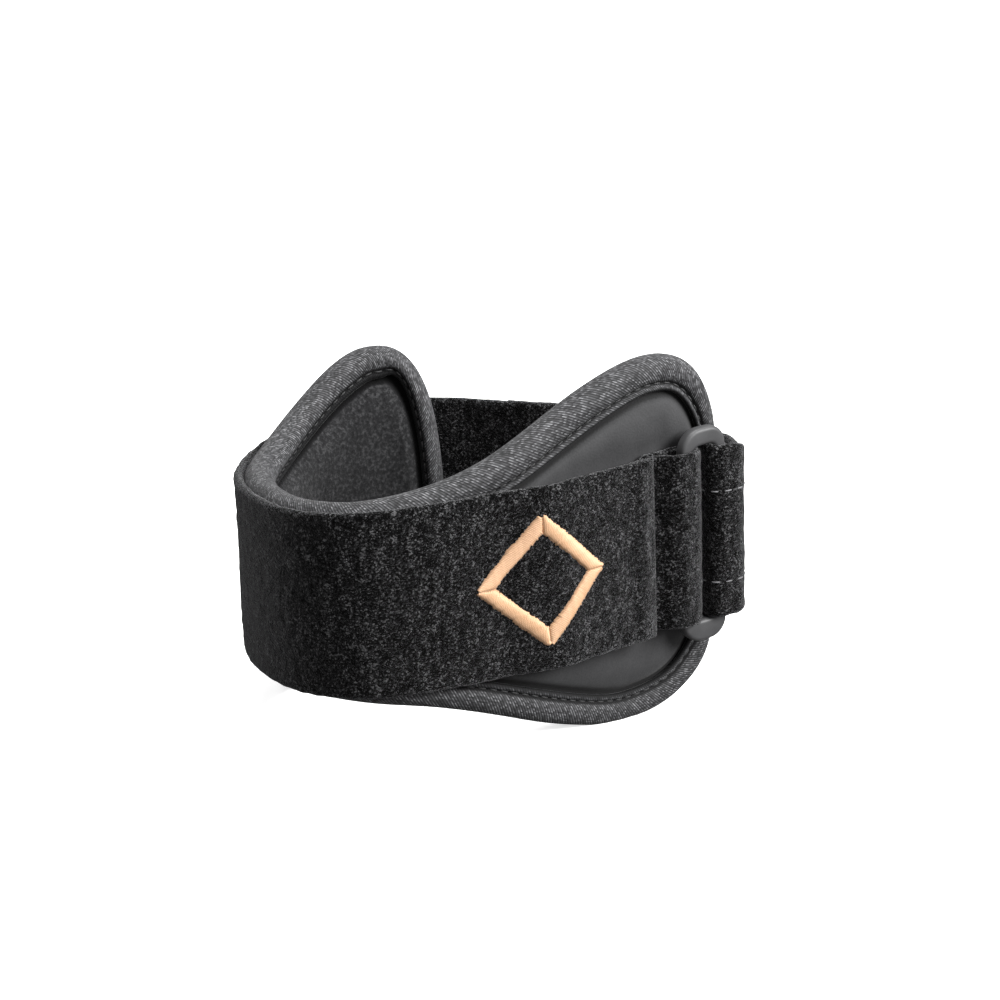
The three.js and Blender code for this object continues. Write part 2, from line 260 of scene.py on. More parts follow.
def rimDistance(flat):
    points = flat.reshape(-1, 2)
    nearest = [np.sqrt(((p - rimLine) ** 2).sum(1).min()) for p in points]
    return np.array(nearest).reshape(flat.shape[:-1])


# Seeded unevenness, smoothed over a number of cells each way
def unevenness(rows, columns, seed, cells):
    field = np.random.default_rng(seed).normal(size=(rows, columns))
    for axis, reach in enumerate(cells):
        width = max(1, math.ceil(2.5 * reach))
        kernel = np.exp(-0.5 * (np.arange(-width, width + 1) / reach) ** 2)
        margin = [(width, width) if k == axis else (0, 0) for k in (0, 1)]
        padded = np.pad(field, margin, mode="wrap")
        size = field.shape[axis]
        field = sum(w * np.take(padded, range(i, i + size), axis) for i, w in enumerate(kernel))
    return field / field.std()


def pickOnly(piece):
    bpy.ops.object.select_all(action="DESELECT")
    piece.select_set(True)
    bpy.context.view_layer.objects.active = piece


def facesOut(piece):
    pickOnly(piece)
    bpy.ops.object.mode_set(mode="EDIT")
    bpy.ops.mesh.select_all(action="SELECT")
    bpy.ops.mesh.normals_make_consistent(inside=False)
    bpy.ops.object.mode_set(mode="OBJECT")


def addPiece(name, points, faces, uv=None):
    mesh = bpy.data.meshes.new(name)
    mesh.from_pydata(place(points.reshape(-1, 3)).tolist(), [], faces)
    if uv is not None:
        mesh.uv_layers.new(name="cloth").data.foreach_set("uv", uv.astype(np.float32).ravel())
    mesh.validate()
    piece = bpy.data.objects.new(name, mesh)
    scene.collection.objects.link(piece)
    facesOut(piece)
    bpy.ops.object.shade_smooth()
    return piece


# Object from a grid of points; a closed direction joins its last row to its first
def gridPiece(name, points, closed=(False, True), uv=None, capped=False):
    rows, columns = points.shape[:2]
    i, j = np.meshgrid(
        np.arange(rows - (not closed[0])), np.arange(columns - (not closed[1])), indexing="ij")
    corners = [(i, j), (i + 1, j), (i + 1, j + 1), (i, j + 1)]
    faces = np.stack([(a % rows) * columns + b % columns for a, b in corners], -1)
    faces = faces.reshape(-1, 4).tolist()
    if capped:
        end = (rows - 1) * columns
        faces += [list(range(columns)), list(range(end + columns - 1, end - 1, -1))]
    if uv is not None:
        uv = np.stack([uv[a, b] for a, b in corners], 2)
    return addPiece(name, points, faces, uv)


# Many short tubes in one object, along lines of equal count; outward is which way their tops face
def tubes(name, lines, outward, radius, sides=6, flatness=0.8, taper=1.0):
    count, stations = lines.shape[:2]
    run = normalised(np.gradient(lines, axis=1))
    side = normalised(np.cross(outward, run))
    up = np.cross(run, side)
    turn = np.arange(sides) / sides * 2 * math.pi
    spread = side[:, :, None] * np.cos(turn)[:, None]
    spread = spread + up[:, :, None] * np.sin(turn)[:, None] * flatness
    thickness = radius * np.broadcast_to(taper, stations)
    rings = lines[:, :, None] + spread * thickness[:, None, None]
    i, j = np.meshgrid(np.arange(stations - 1), np.arange(sides), indexing="ij")
    k = (j + 1) % sides
    quads = np.stack([i * sides + j, (i + 1) * sides + j, (i + 1) * sides + k, i * sides + k], -1)
    first = np.arange(count)[:, None, None] * stations * sides
    faces = (quads.reshape(1, -1, 4) + first).reshape(-1, 4).tolist()
    ends = first[:, 0] + np.arange(sides)
    faces += ends[:, ::-1].tolist() + (ends + (stations - 1) * sides).tolist()
    steps = np.linalg.norm(np.diff(lines, axis=1), axis=-1).cumsum(1)
    u = np.concatenate([np.zeros((count, 1)), steps], 1) + np.arange(count)[:, None] * 0.37
    u, v = np.broadcast_arrays(u[:, :, None], turn * radius)
    corner = np.concatenate([np.ravel(face) for face in faces])
    return addPiece(name, rings, faces, np.stack([u, v], -1).reshape(-1, 2)[corner])


# Stitches along a line that lies on cloth: lines for tubes, their ends sunk, with which way is out
def stitches(line, outward, length, gap, lift, sink):
    at = lengths(line)
    count = max(1, int(at[-1] / (length + gap)))
    starts = (np.arange(count) + 0.5) * at[-1] / count - length / 2
    t = np.linspace(0, 1, 5)
    where = starts[:, None] + t * length
    up = normalised(sampled(outward, at, where))
    arch = (lift + sink) * np.sin(t * math.pi) ** 0.6 - sink
    return sampled(line, at, where) + up * arch[:, None], up


def finishPiece(piece, material, slot, *nodes):
    piece.data.materials.clear()
    piece.data.materials.append(material)
    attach(piece, "root")
    if nodes:
        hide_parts(*nodes)


def applyModifier(piece, kind, **settings):
    modifier = piece.modifiers.new(kind, kind)
    for name, value in settings.items():
        setattr(modifier, name, value)
    pickOnly(piece)
    bpy.ops.object.modifier_apply(modifier=modifier.name)


# An sRGB hex code as linear light
def colour(code):
    shares = [int(code[i:i + 2], 16) / 255 for i in (1, 3, 5)]
    return (*(s / 12.92 if s <= 0.04045 else ((s + 0.055) / 1.055) ** 2.4 for s in shares), 1)


# A node with its settings and sockets set, linked from {socket: (node, output)}
def addNode(tree, kind, settings, links=None):
    node = tree.nodes.new("ShaderNode" + kind)
    for name, value in settings.items():
        if name == "ramp":
            while len(node.color_ramp.elements) < len(value):
                node.color_ramp.elements.new(0.5)
            for element, (where, code) in zip(node.color_ramp.elements, value):
                element.position, element.color = where, colour(code)
        elif isinstance(name, int) or name in node.inputs:
            node.inputs[name].default_value = value
        else:
            setattr(node, name, value)
    for name, (source, output) in (links or {}).items():
        tree.links.new(source.outputs[output], node.inputs[name])
    return node


def newMaterial(name):
    material = bpy.data.materials.new(name)
    material.use_nodes = True
    material.node_tree.nodes.clear()
    return material, material.node_tree


def addMath(tree, operation, first, second):
    settings, links = {"operation": operation}, {}
    for socket, value in enumerate((first, second)):
        if isinstance(value, tuple) and isinstance(value[1], str):
            links[socket] = value
        else:
            settings[socket] = value
    return addNode(tree, "Math", settings, links), "Value"


# A noise whose cells are of a size, a mix of two values, and a value turned into colours
def addNoise(tree, size, detail, where, roughness=0.5):
    settings = {"Scale": 1 / size, "Detail": detail, "Roughness": roughness}
    return addNode(tree, "TexNoise", settings, {"Vector": where}), "Fac"


def addBlend(tree, first, second, share):
    return addNode(tree, "Mix", {"data_type": "FLOAT", 0: share}, {2: first, 3: second}), "Result"


def addRamp(tree, ramp, shade):
    return addNode(tree, "ValToRGB", {"ramp": ramp}, {"Fac": shade}), "Color"


# The last two nodes of a cloth: a bump as high as given in millimetres, and the surface
def addSurface(tree, skin, height, bumpHeight, **sockets):
    relief = addNode(tree, "Bump", {"Strength": 1.0, "Distance": bumpHeight / 1000}, {"Height": height})
    shader = addNode(tree, "BsdfPrincipled", {}, {"Base Color": skin, "Normal": (relief, "Normal")})
    for name, value in sockets.items():
        socket = name.replace("_", " ")
        if isinstance(value, tuple) and isinstance(value[1], str):
            tree.links.new(value[0].outputs[value[1]], shader.inputs[socket])
        else:
            shader.inputs[socket].default_value = value
    addNode(tree, "OutputMaterial", {}, {"Surface": (shader, "BSDF")})


# Object coordinates in millimetres, stretched by shares along x, y and z
def millimetres(tree, stretch=(1, 1, 1)):
    where = addNode(tree, "TexCoord", {})
    scale = tuple(1000 / s for s in stretch)
    return addNode(tree, "Mapping", {"Scale": scale}, {"Vector": (where, "Object")}), "Vector"


# Loop velour: knitted nylon brushed into short loops. Nearly black, with painted glints: a fine sharp
# grain of bright flecks painted into the colour where some loops would catch the light, and soft
# streaks up and down where the pile lies differently.
velour = {
    "ramp": [(0.2, "#030303"), (0.5, "#0b0b0b"), (0.75, "#232324"), (1.0, "#5a5a5b")],
    "loopSize": 0.27, "tuftSize": 0.8, "streakWidth": 1.3, "streakLength": 3.5, "bumpHeight": 0.22,
    "lieShare": 0.75, "lieShift": -0.5, "paintedGlintPower": 1.7, "paintedGlintShare": 0.7,
}


def makeVelour():
    material, tree = newMaterial("loopVelour")
    flat, long = millimetres(tree), millimetres(tree, (1, 1, velour["streakLength"]))
    loops = addNode(tree, "TexVoronoi", {"Scale": 1 / velour["loopSize"]}, {"Vector": flat})
    tufts = addNoise(tree, velour["tuftSize"], 3.0, flat)
    streaks = addNoise(tree, velour["streakWidth"], 2.0, long)
    lie = addMath(tree, "MULTIPLY", addMath(tree, "ADD", tufts, streaks), velour["lieShare"])
    lie = addMath(tree, "ADD", lie, velour["lieShift"])
    luck = addNode(tree, "SeparateColor", {}, {"Color": (loops, "Color")})
    # Painted glint: a bright fleck in the colour of some loops, standing in for light they catch
    paintedGlint = addMath(tree, "POWER", (luck, "Red"), velour["paintedGlintPower"])
    paintedGlint = addMath(tree, "MULTIPLY", paintedGlint, velour["paintedGlintShare"])
    bright = addMath(tree, "ADD", lie, paintedGlint)
    height = addMath(tree, "SUBTRACT", bright, (loops, "Distance"))
    addSurface(tree, addRamp(tree, velour["ramp"], bright), height, velour["bumpHeight"],
               Roughness=0.95, IOR=1.53, Specular_IOR_Level=0.04, Sheen_Weight=0.45,
               Sheen_Roughness=0.26, Sheen_Tint=colour("#c4c4c6"))
    return material


# Painted shade: a shell of the padding is painted darker, down to this share, towards the crease
# along its edging, where shade falls
paintedCreaseShade = 0.08


def addPaintedCreaseShade(tree, shade, shell):
    rim = addNode(tree, "Attribute", {"attribute_name": "rimDistance"})
    # painted crease shade, fading out between the shell's two distances from the rim
    dim = addNode(tree, "MapRange", {
        "From Min": shell["paintedShadeFrom"], "From Max": shell["paintedShadeTo"], "To Min": paintedCreaseShade,
    }, {"Value": (rim, "Fac")})
    return addMath(tree, "MULTIPLY", shade, (dim, "Result"))


# Cover: smooth warp-knit nylon laminated to foam, dark grey, with the faintest unevenness, and
# painted shade towards the crease by the edging, for which the near-black first stop is
coverCloth = {
    "ramp": [(0.0, "#040404"), (0.3, "#29292a"), (0.7, "#343435")],
    "knitSize": 0.4, "cloudSize": 4, "bumpHeight": 0.05,
}


def makeCoverCloth():
    material, tree = newMaterial("warpKnitCover")
    flat = millimetres(tree)
    knit = addNoise(tree, coverCloth["knitSize"], 1.0, flat)
    cloud = addNoise(tree, coverCloth["cloudSize"], 5.0, flat)
    shade = addPaintedCreaseShade(tree, addBlend(tree, knit, cloud, 0.5), coverShell)
    addSurface(tree, addRamp(tree, coverCloth["ramp"], shade), knit, coverCloth["bumpHeight"],
               Roughness=0.75, IOR=1.5, Specular_IOR_Level=0.25, Sheen_Weight=0.06,
               Sheen_Roughness=0.5)
    return material


# Lining: brushed polyester fleece, dark grey, with small matted tufts, and painted shade towards
# the crease by the edging, for which the near-black first stop is
fleece = {
    "ramp": [(0.0, "#040404"), (0.34, "#111112"), (0.5, "#202021"), (0.66, "#3d3d3e")],
    "tuftSize": 0.9, "tuftRoughness": 0.7, "patchSize": 6, "patchShare": 0.15, "bumpHeight": 0.3,
}


def makeFleece():
    material, tree = newMaterial("brushedFleece")
    flat = millimetres(tree)
    tufts = addNoise(tree, fleece["tuftSize"], 4.0, flat, fleece["tuftRoughness"])
    patches = addNoise(tree, fleece["patchSize"], 3.0, flat)
    shade = addPaintedCreaseShade(tree, addBlend(tree, tufts, patches, fleece["patchShare"]), liningShell)
    addSurface(tree, addRamp(tree, fleece["ramp"], shade), tufts, fleece["bumpHeight"],
               Roughness=0.95, IOR=1.5, Specular_IOR_Level=0.1, Sheen_Weight=0.1, Sheen_Roughness=0.5)
    return material


# Ring: moulded acetal, mid grey and satin, with a faint grain from the mould
acetal = {
    "ramp": [(0.35, "#3a3a3b"), (0.7, "#454546")],
    "cloudSize": 5, "grainSize": 0.3, "bumpHeight": 0.02, "gloss": (0.42, 0.55),
}


def makeAcetal():
    material, tree = newMaterial("mouldedAcetal")
    flat = millimetres(tree)
    grain = addNoise(tree, acetal["grainSize"], 1.0, flat)
    cloud = addNoise(tree, acetal["cloudSize"], 4.0, flat)
    low, high = acetal["gloss"]
    rough = addNode(tree, "MapRange", {"To Min": low, "To Max": high}, {"Value": cloud})
    addSurface(tree, addRamp(tree, acetal["ramp"], cloud), grain, acetal["bumpHeight"],
               Roughness=(rough, "Result"), IOR=1.48, Specular_IOR_Level=0.35)
    return material


# Hook tape: moulded nylon, black and slightly shiny
hookNylon = {"ramp": [(0.35, "#0c0c0d"), (0.7, "#1d1d1e")], "grainSize": 1.1, "bumpHeight": 0.03}


def makeHookNylon():
    material, tree = newMaterial("mouldedNylonHooks")
    grain = addNoise(tree, hookNylon["grainSize"], 3.0, millimetres(tree))
    addSurface(tree, addRamp(tree, hookNylon["ramp"], grain), grain, hookNylon["bumpHeight"],
               Roughness=0.5, IOR=1.53)
    return material


# Thread: twisted polyester or rayon, its ply drawn along each stitch
thread = {"plyScale": 1.4, "plyWander": 0.4, "shiftSize": 1.25, "bumpHeight": 0.03}


def makeThread(name, dark, light, roughness):
    material, tree = newMaterial(name)
    where = addNode(tree, "UVMap", {"uv_map": "cloth"}), "UV"
    ply = addNode(tree, "TexWave", {
        "bands_direction": "DIAGONAL", "Scale": thread["plyScale"], "Distortion": thread["plyWander"],
    }, {"Vector": where}), "Fac"
    shade = addBlend(tree, ply, addNoise(tree, thread["shiftSize"], 2.0, where), 0.5)
    addSurface(tree, addRamp(tree, [(0.15, dark), (0.75, light)], shade), ply, thread["bumpHeight"],
               Roughness=roughness, IOR=1.55, Sheen_Weight=0.1, Sheen_Roughness=0.3)
    return material


velourCloth = makeVelour()
ringPlastic, hookPlastic = makeAcetal(), makeHookNylon()
markThread = makeThread("peachRayonThread", "#b0835f", "#dcb590", 0.42)
darkThread = makeThread("blackSeamThread", "#070708", "#242425", 0.55)
paleThread = makeThread("greySeamThread", "#49494b", "#79797b", 0.55)
print("materials made")


# On the inner face the edging is narrow round the end of the rear lobe and widens away from it: by
# this share, between these distances from the pad's waist
widening = {"share": 0.5, "from": -95, "to": -82}


def innerWiden(along):
    return 1 + widening["share"] * smooth(along, widening["from"], widening["to"])


# Cover and lining: shells whose faces start flat under the edging's lip, rise beside it in a sharp
# crease and are then swelled. Distances are from the rim; rows are measured in from the shell's edge.
padding = {
    "inset": 1.8, "lipReach": 1.6, "creaseReach": 3.25, "settleTo": 13, "innerRows": 12, "backRows": 6,
    "tipSteps": 22, "waistSteps": 80, "strapReach": 20.6, "strapEase": 2,
    "pressure": 6.0, "frames": 20, "enlarged": 60, "quality": 6, "stretch": 15, "bending": 2,
}
# Each shell also gives the distances from the rim over which its painted crease shade fades out
coverShell = {
    "creaseFrom": 7.8, "creaseTo": 9.4, "rows": (0, 2.4, 4.4, 5.4, 6.0, 6.5, 7.0, 7.6, 8.6, 10.2, 12.4),
    "freeFrom": 8.4, "freeTo": 12.4, "puff": 0.7, "foam": 0.8, "paintedShadeFrom": 8.3, "paintedShadeTo": 9.5,
}
liningShell = {
    "creaseFrom": 5.2, "creaseTo": 6.7, "freeFrom": 5.7, "freeTo": 10.7, "puff": 0.9, "foam": 0.7,
    "paintedShadeFrom": 5.3, "paintedShadeTo": 6.1,
    "rows": (0, 1.8, 2.8, 3.4, 3.9, 4.4, 4.9, 5.4, 5.9, 6.5, 7.4, 9.0, 11.4),
}
# Fold that runs up the cover beside the ring: place round the loop, heights and how they ease in and
# out, depth and width
coverFold = {"at": -21, "from": 19, "easeIn": 2, "to": 29, "easeOut": 4, "depth": 0.8, "width": 1.3}
coverKnit, fleeceCloth = makeCoverCloth(), makeFleece()


# A shell with each point's distance from the rim and height; side is 1 outside and -1 inside
def padShell(name, side, shell):
    upper, lower = padOutline(padding["tipSteps"], padding["waistSteps"])
    around = np.concatenate([upper, lower[-2:0:-1]])
    inset = around + inwardOf(around) * padding["inset"]
    top, bottom = inset[1:len(upper) - 1], inset[:len(upper) - 1:-1]
    half = np.linalg.norm(top - bottom, axis=1)[:, None] / 2
    rows = np.array(shell["rows"])
    edge = rows * np.minimum(1, half / (1.25 * rows[-1]))
    middle = mix(edge[:, -1:], half, np.linspace(0, 1, padding["innerRows"])[1:])
    lowerHalf = np.concatenate([edge, middle], 1) / (2 * half)
    share = np.concatenate([lowerHalf, 1 - lowerHalf[:, -2::-1]], 1)[..., None]
    flat = mix(bottom[:, None], top[:, None], share)
    distance = rimDistance(flat)
    if side < 0:
        distance = distance - shell["creaseFrom"] * (innerWiden(flat[..., 0]) - 1)
    rise = smooth(distance, shell["creaseFrom"], shell["creaseTo"])
    reach = mix(padding["lipReach"], padding["creaseReach"], rise)
    spare = pad["thickness"] / 2 - padding["creaseReach"]
    reach = reach + spare * smooth(distance, shell["freeFrom"], padding["settleTo"])
    if side > 0:
        height, at = flat[..., 1], flat[..., 0] + pad["waistAt"]
        fold = smooth(height, coverFold["from"], coverFold["from"] + coverFold["easeIn"])
        fold = fold * (1 - smooth(height, coverFold["to"] - coverFold["easeOut"], coverFold["to"]))
        reach = reach - coverFold["depth"] * fold * bump(at, coverFold["at"], coverFold["width"])
    face = onPad(flat[..., 0], flat[..., 1], padMiddle + side * reach)
    backFlat = mix(bottom[:, None], top[:, None], np.linspace(1, 0, padding["backRows"])[None, :, None])
    back = onPad(backFlat[..., 0], backFlat[..., 1], padMiddle + side * pad["gap"] / 2)
    piece = gridPiece(name, np.concatenate([face, back], 1), capped=True)
    free = np.concatenate([distance, np.zeros(backFlat.shape[:2])], 1).ravel()
    rim = piece.data.attributes.new("rimDistance", "FLOAT", "POINT")
    rim.data.foreach_set("value", free.astype(np.float32))
    return piece, free, np.concatenate([flat[..., 1], backFlat[..., 1]], 1).ravel()


# Blender's cloth, on an enlarged copy that is held where hold is 1, gives the soft swell
def inflate(piece, hold, cap):
    size = padding["enlarged"]
    mesh = piece.data.copy()
    mesh.transform(Matrix.Scale(size, 4))
    trial = bpy.data.objects.new("trial", mesh)
    scene.collection.objects.link(trial)
    held = trial.vertex_groups.new(name="held")
    for index, weight in enumerate(hold):
        held.add([index], float(weight), "REPLACE")
    cloth = trial.modifiers.new("cloth", "CLOTH")
    cloth.settings.quality = padding["quality"]
    cloth.settings.vertex_group_mass = "held"
    cloth.settings.tension_stiffness = cloth.settings.compression_stiffness = padding["stretch"]
    cloth.settings.bending_stiffness = padding["bending"]
    cloth.settings.use_pressure = True
    cloth.settings.uniform_pressure_force = padding["pressure"]
    cloth.settings.effector_weights.gravity = 0
    cloth.collision_settings.use_collision = False
    cloth.point_cache.frame_end = padding["frames"]
    for number in range(1, padding["frames"] + 1):
        scene.frame_set(number)
    swollen = trial.evaluated_get(bpy.context.evaluated_depsgraph_get()).to_mesh()
    after, before = np.empty(len(hold) * 3), np.empty(len(hold) * 3)
    swollen.vertices.foreach_get("co", after)
    piece.data.vertices.foreach_get("co", before)
    move = (after / size - before).reshape(-1, 3)
    far = np.linalg.norm(move, axis=1, keepdims=True)
    print(piece.name, "swelled by up to", round(float(far.max()) * 1000, 2), "mm")
    move *= np.minimum(1, cap / 1000 / np.maximum(far, 1e-9))
    piece.data.vertices.foreach_set("co", before + move.ravel())
    piece.data.update()
    bpy.data.objects.remove(trial)
    scene.frame_set(1)


def makeCover():
    cover, distance, height = padShell("padded_cover", 1, coverShell)
    free = smooth(distance, coverShell["freeFrom"], coverShell["freeTo"])
    free = free * smooth(abs(height), padding["strapReach"], padding["strapReach"] + padding["strapEase"])
    inflate(cover, 1 - free, coverShell["puff"])
    applyModifier(cover, "SUBSURF", levels=1, render_levels=1)
    finishPiece(cover, coverKnit, "cover_cloth", "pad_cover")


def makeLining():
    lining, distance, _ = padShell("padded_lining", -1, liningShell)
    free = smooth(distance, liningShell["freeFrom"], liningShell["freeTo"])
    inflate(lining, 1 - free, liningShell["puff"])
    applyModifier(lining, "SUBSURF", levels=1, render_levels=1)
    finishPiece(lining, fleeceCloth, "lining_cloth", "pad_lining")


makeCover()
makeLining()
print("padding made")

# Woven edging, rolled over the rim and sewn down in a groove, with a pressed lip inside the seam. The
# section gives distances in from the rim and out from the pad's middle, from the outer lip round the
# rim to the inner lip, which is narrower.
edging = {
    "step": 0.8,
    "skin": [
        (7.35, 2.0), (7.4, 2.85), (7.2, 3.12), (6.75, 3.2), (6.3, 3.0), (5.8, 2.3), (5.35, 2.95),
        (4.6, 3.45), (3.2, 3.62), (1.6, 3.2), (0.4, 1.9), (0.0, 0.0), (0.4, -1.9), (1.2, -3.1),
        (2.1, -3.5), (2.9, -3.4), (3.4, -3.0), (3.65, -2.68), (3.95, -2.9), (4.5, -2.9), (4.8, -2.6),
        (4.85, -1.95),
    ],
    "inside": [
        (4.2, -1.85), (2.3, -1.8), (1.85, -0.9), (1.8, 0.0), (1.85, 0.9), (2.3, 1.8), (6.2, 1.85),
    ],
    "outerSeam": (5.8, 2.42), "innerSeam": (3.65, -2.82),
    "fineness": 0.55, "stitch": 2.6, "stitchGap": 0.5, "thread": 0.2,
    "pucker": 0.16, "puckerWidth": 0.9, "puckerAbove": 2.2, "drift": 0.1,
}


edgingSkin = evenly(curveThrough(edging["skin"], perSpan=8), edging["fineness"])
edgingAcross = lengths(edgingSkin)

# Twill tape: polyester in fine slanting ribs of black and grey yarn, each float of its own brightness,
# with painted shade in the seam grooves and along the edges of the two lips
twill = {
    "ramp": [(0.03, "#060607"), (0.35, "#303031"), (0.7, "#4c4c4e"), (1.0, "#808082")],
    "alongRim": 0.7, "acrossRim": 0.9, "floatLength": 0.36, "slant": 1, "bumpHeight": 0.08,
    "darkest": 0.3, "cloudSize": 2, "cloudLight": (0.85, 1.1),
    "paintedSeamShade": 0.02, "seamFrom": 0.38, "seamTo": 0.85, "lipEdge": 0.85,
}


# Painted shade: how far the tape is darkened at a distance across it from a seam groove or lip edge
def addPaintedSeamShade(tree, across, place):
    apart = addMath(tree, "ABSOLUTE", addMath(tree, "SUBTRACT", across, float(place)), 0.0)
    shade = addNode(tree, "MapRange", {
        "From Min": twill["seamFrom"], "From Max": twill["seamTo"], "To Min": twill["paintedSeamShade"],
    }, {"Value": apart})
    return shade, "Result"


def makeTwill():
    material, tree = newMaterial("twillTape")
    rimLength = lengths(joined(rimLine))[-1]
    perLength = round(rimLength / twill["alongRim"]) / rimLength
    where = addNode(tree, "UVMap", {"uv_map": "cloth"}), "UV"
    parts = addNode(tree, "SeparateXYZ", {}, {"Vector": where})
    along = addMath(tree, "MULTIPLY", (parts, "X"), perLength)
    across = addMath(tree, "MULTIPLY", (parts, "Y"), twill["slant"] / twill["acrossRim"])
    ribs = addMath(tree, "ADD", along, across)
    wave = addMath(tree, "SINE", addMath(tree, "MULTIPLY", ribs, 2 * math.pi), 0.0)
    floats = addMath(tree, "MULTIPLY", (parts, "Y"), 1 / twill["floatLength"])
    cell = addNode(tree, "CombineXYZ", {}, {
        "X": addMath(tree, "FLOOR", ribs, 0.0), "Y": addMath(tree, "FLOOR", floats, 0.0)})
    luck = addNode(tree, "TexWhiteNoise", {"noise_dimensions": "2D"}, {"Vector": (cell, "Vector")})
    body = addNode(tree, "MapRange", {"From Min": -1.0, "To Min": twill["darkest"]}, {"Value": wave})
    part = addNode(tree, "MapRange", {"To Min": twill["darkest"]}, {"Value": (luck, "Value")})
    weave = addMath(tree, "MULTIPLY", (body, "Result"), (part, "Result"))
    low, high = twill["cloudLight"]
    patch = addNode(tree, "MapRange", {"From Min": 0.3, "From Max": 0.7, "To Min": low, "To Max": high},
                    {"Value": addNoise(tree, twill["cloudSize"], 2.0, where)})
    shade = addMath(tree, "MULTIPLY", weave, (patch, "Result"))
    outer, inner = (edgingAcross[np.linalg.norm(edgingSkin - edging[key], axis=1).argmin()]
                    for key in ("outerSeam", "innerSeam"))
    # painted shade in the two seam grooves and at the edges of the two lips
    for place in (twill["lipEdge"], outer, inner, edgingAcross[-1] - twill["lipEdge"]):
        shade = addMath(tree, "MULTIPLY", shade, addPaintedSeamShade(tree, (parts, "Y"), place))
    addSurface(tree, addRamp(tree, twill["ramp"], shade), weave, twill["bumpHeight"], Roughness=0.7,
               IOR=1.5, Specular_IOR_Level=0.2, Sheen_Weight=0.05, Sheen_Roughness=0.4)
    return material


twillTape = makeTwill()


def makeEdging():
    section = np.concatenate([edgingSkin, edging["inside"]])
    line = evenly(joined(rimLine), edging["step"])
    around, line = lengths(line), line[:-1]
    inward = inwardOf(line)
    depth, face = section[None, :, 0], section[None, :, 1]
    seam = np.where(face > 0, edging["outerSeam"][0], edging["innerSeam"][0])
    turns = around[:-1, None] / edging["stitch"] * 2 * math.pi
    pull = (0.5 + 0.5 * np.cos(turns)) * bump(depth, seam, edging["puckerWidth"])
    pull = pull * (abs(face) > edging["puckerAbove"])
    drift = edging["drift"] * unevenness(len(line), len(section), 11, (5, 6)) * (depth < seam)
    drift[:, len(edgingSkin):] = 0
    depth = depth * np.where(face < 0, innerWiden(line[:, :1]), 1)
    face = face - np.sign(face) * edging["pucker"] * pull + drift / 2
    flat = line[:, None] + inward[:, None] * (depth + drift / 3)[..., None]
    points = onPad(flat[..., 0], flat[..., 1], padMiddle + face)
    across = np.concatenate([edgingAcross, np.zeros(len(section) - len(edgingSkin) + 1)])
    uv = np.stack(np.broadcast_arrays(around[:, None], across[None, :]), -1)
    piece = gridPiece("woven_edging", points, closed=(True, True), uv=uv)
    finishPiece(piece, twillTape, "edging_tape", "edge_binding")


def makeEdgingStitches():
    ring, inward = joined(rimLine), joined(inwardOf(rimLine))
    lines, ups = [], []
    for depth, face in (edging["outerSeam"], edging["innerSeam"]):
        flat = ring + inward * (depth * (innerWiden(ring[:, :1]) if face < 0 else 1))
        line = onPad(flat[:, 0], flat[:, 1], padMiddle + face)
        outward = onPad(flat[:, 0], flat[:, 1], padMiddle + face + np.sign(face)) - line
        length = edging["stitch"] - edging["stitchGap"]
        each, up = stitches(line, outward, length, edging["stitchGap"], 0.12, 0.25)
        lines.append(each)
        ups.append(up)
    piece = tubes("edging_stitches", np.concatenate(lines), np.concatenate(ups), edging["thread"])
    finishPiece(piece, darkThread, "edging_tape")


makeEdging()
makeEdgingStitches()
print("edging sewn on")

# Velour strap and tab, and the ring that joins them
ring = {
    "at": -12.8, "width": 13, "bar": 3.4, "thickness": 2.8, "barGap": 0.5,
    "left": -5.9, "right": 5.6, "height": 48, "lowered": 0.5, "holeWidth": 6.2, "holeHeight": 39.2,
    "leftCorner": 5.0, "rightCorner": 4.2, "edgeRound": 0.9,
}
strap = {
    "width": 40, "thickness": 2, "hemAt": -26.3, "freeEndAt": 58, "rise": 15, "step": 0.55,
    "pile": 0.06, "wave": 0.05, "hemLength": 7, "hemExtra": 0.5, "pitch": 3,
    "squeeze": 0.6, "squeezeWidth": 6, "backRise": 1.2, "backRiseAt": 95, "backRiseWidth": 25,
    "hemRound": 0.3,
}
# The strap's top edge dips where it turns the right end, and its bottom corner is rounded there
dip = {"depth": 4.8, "from": -11, "full": 1, "until": 11, "to": 48, "corner": 2.6,
       "cornerAt": 0.5, "cornerWidth": 4.5, "looseEnd": 0.9, "looseFrom": 34, "looseTo": 46}
tab = {"inset": 0.5, "thickness": 1.6, "endAt": -49, "hemAt": -25.6, "step": 0.5, "pile": 0.07,
       "taper": 1.3}
hooks = {
    "at": 7, "margin": 4, "width": 24, "thickness": 1, "drop": 2, "spacing": 1.7, "height": 0.55,
    "wire": 0.11, "reach": 0.5, "margins": 1,
}

ringPoint, ringRun, ringOutward = planAt(ring["at"])
barOffset = (ring["width"] - ring["bar"]) / 2


def turnRadius(thickness):
    return ring["thickness"] / 2 + ring["barGap"] + thickness / 2


ringOut = strap["thickness"] / 2 + turnRadius(strap["thickness"])


# Plan place by the ring: x along the loop towards its right end, y outwards
def byRing(x, y):
    x, y = np.broadcast_arrays(np.asarray(x, float), y)
    return ringPoint + ringRun * x[..., None] + ringOutward * (ringOut + y)[..., None]


# Half turn round a bar and on past it: side is 1 for the right bar and -1 for the left
def turnRound(side, thickness):
    radius = turnRadius(thickness)
    slack = (ring["bar"] - ring["thickness"]) / 2
    angle = np.linspace(0, math.pi, 9)
    turn = byRing(side * (barOffset - slack - radius * np.sin(angle)), -radius * np.cos(angle))
    past = barOffset + ring["bar"] / 2 + 2 * ring["barGap"]
    return np.concatenate([turn, byRing([side * past], radius)])


